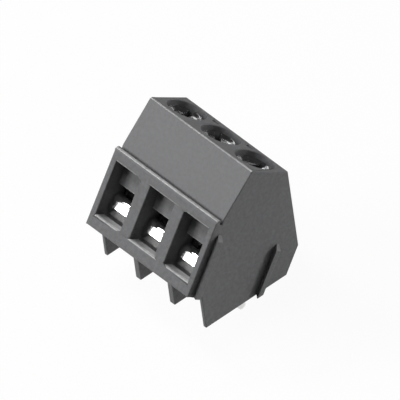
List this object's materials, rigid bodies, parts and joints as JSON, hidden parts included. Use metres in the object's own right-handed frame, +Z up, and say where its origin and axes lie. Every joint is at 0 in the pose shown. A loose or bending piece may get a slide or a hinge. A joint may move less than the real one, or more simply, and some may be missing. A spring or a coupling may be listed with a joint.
{
  "type": "pcb screw terminal",
  "caption": "Tilted screw terminal block for a circuit board, with rising clamp yokes, slotted screws, round solder pins and joining ribs on its side.",
  "frame": {"origin": "axis of the middle solder pin at the circuit board's surface", "axes": "+X along the row of poles towards the joining ribs, +Y towards the block's back away from the wires, +Z up off the board"},
  "size_m": [0.0157, 0.0138, 0.0186],
  "materials": {
    "housing_plastic": "fine-textured moulded polyamide",
    "screw_steel": "zinc plated",
    "yoke_steel": "bright plated sheet",
    "contact_tin": "tinned copper alloy"
  },
  "bodies": {
    "block": {"housing": "housing_plastic", "contact_1": "contact_tin", "contact_2": "contact_tin", "contact_3": "contact_tin"},
    "screw_1": {"screw_1": "screw_steel"},
    "screw_2": {"screw_2": "screw_steel"},
    "screw_3": {"screw_3": "screw_steel"},
    "yoke_1": {"yoke_1": "yoke_steel"},
    "yoke_2": {"yoke_2": "yoke_steel"},
    "yoke_3": {"yoke_3": "yoke_steel"}
  },
  "joints": [
    {"name": "yoke_lift_1", "type": "slide", "parent": "block", "child": "yoke_1", "axis": [0, 0.5736, 0.8192], "range_m": [-0.0024, 0.0008]},
    {"name": "screw_turn_1", "type": "hinge", "parent": "block", "child": "screw_1", "pos_m": [-0.00508, 0.00412, 0.0138], "axis": [0, 0.5736, 0.8192], "range_deg": [-576, 1728]},
    {"name": "yoke_lift_2", "type": "slide", "parent": "block", "child": "yoke_2", "axis": [0, 0.5736, 0.8192], "range_m": [-0.0024, 0.0008]},
    {"name": "screw_turn_2", "type": "hinge", "parent": "block", "child": "screw_2", "pos_m": [0, 0.00412, 0.0138], "axis": [0, 0.5736, 0.8192], "range_deg": [-576, 1728]},
    {"name": "yoke_lift_3", "type": "slide", "parent": "block", "child": "yoke_3", "axis": [0, 0.5736, 0.8192], "range_m": [-0.0024, 0.0008]},
    {"name": "screw_turn_3", "type": "hinge", "parent": "block", "child": "screw_3", "pos_m": [0.00508, 0.00412, 0.0138], "axis": [0, 0.5736, 0.8192], "range_deg": [-576, 1728]}
  ],
  "couplings": [
    {"joint": "screw_turn_1", "follows": "yoke_lift_1", "rad_per_m": -12566},
    {"joint": "screw_turn_2", "follows": "yoke_lift_2", "rad_per_m": -12566},
    {"joint": "screw_turn_3", "follows": "yoke_lift_3", "rad_per_m": -12566}
  ]
}
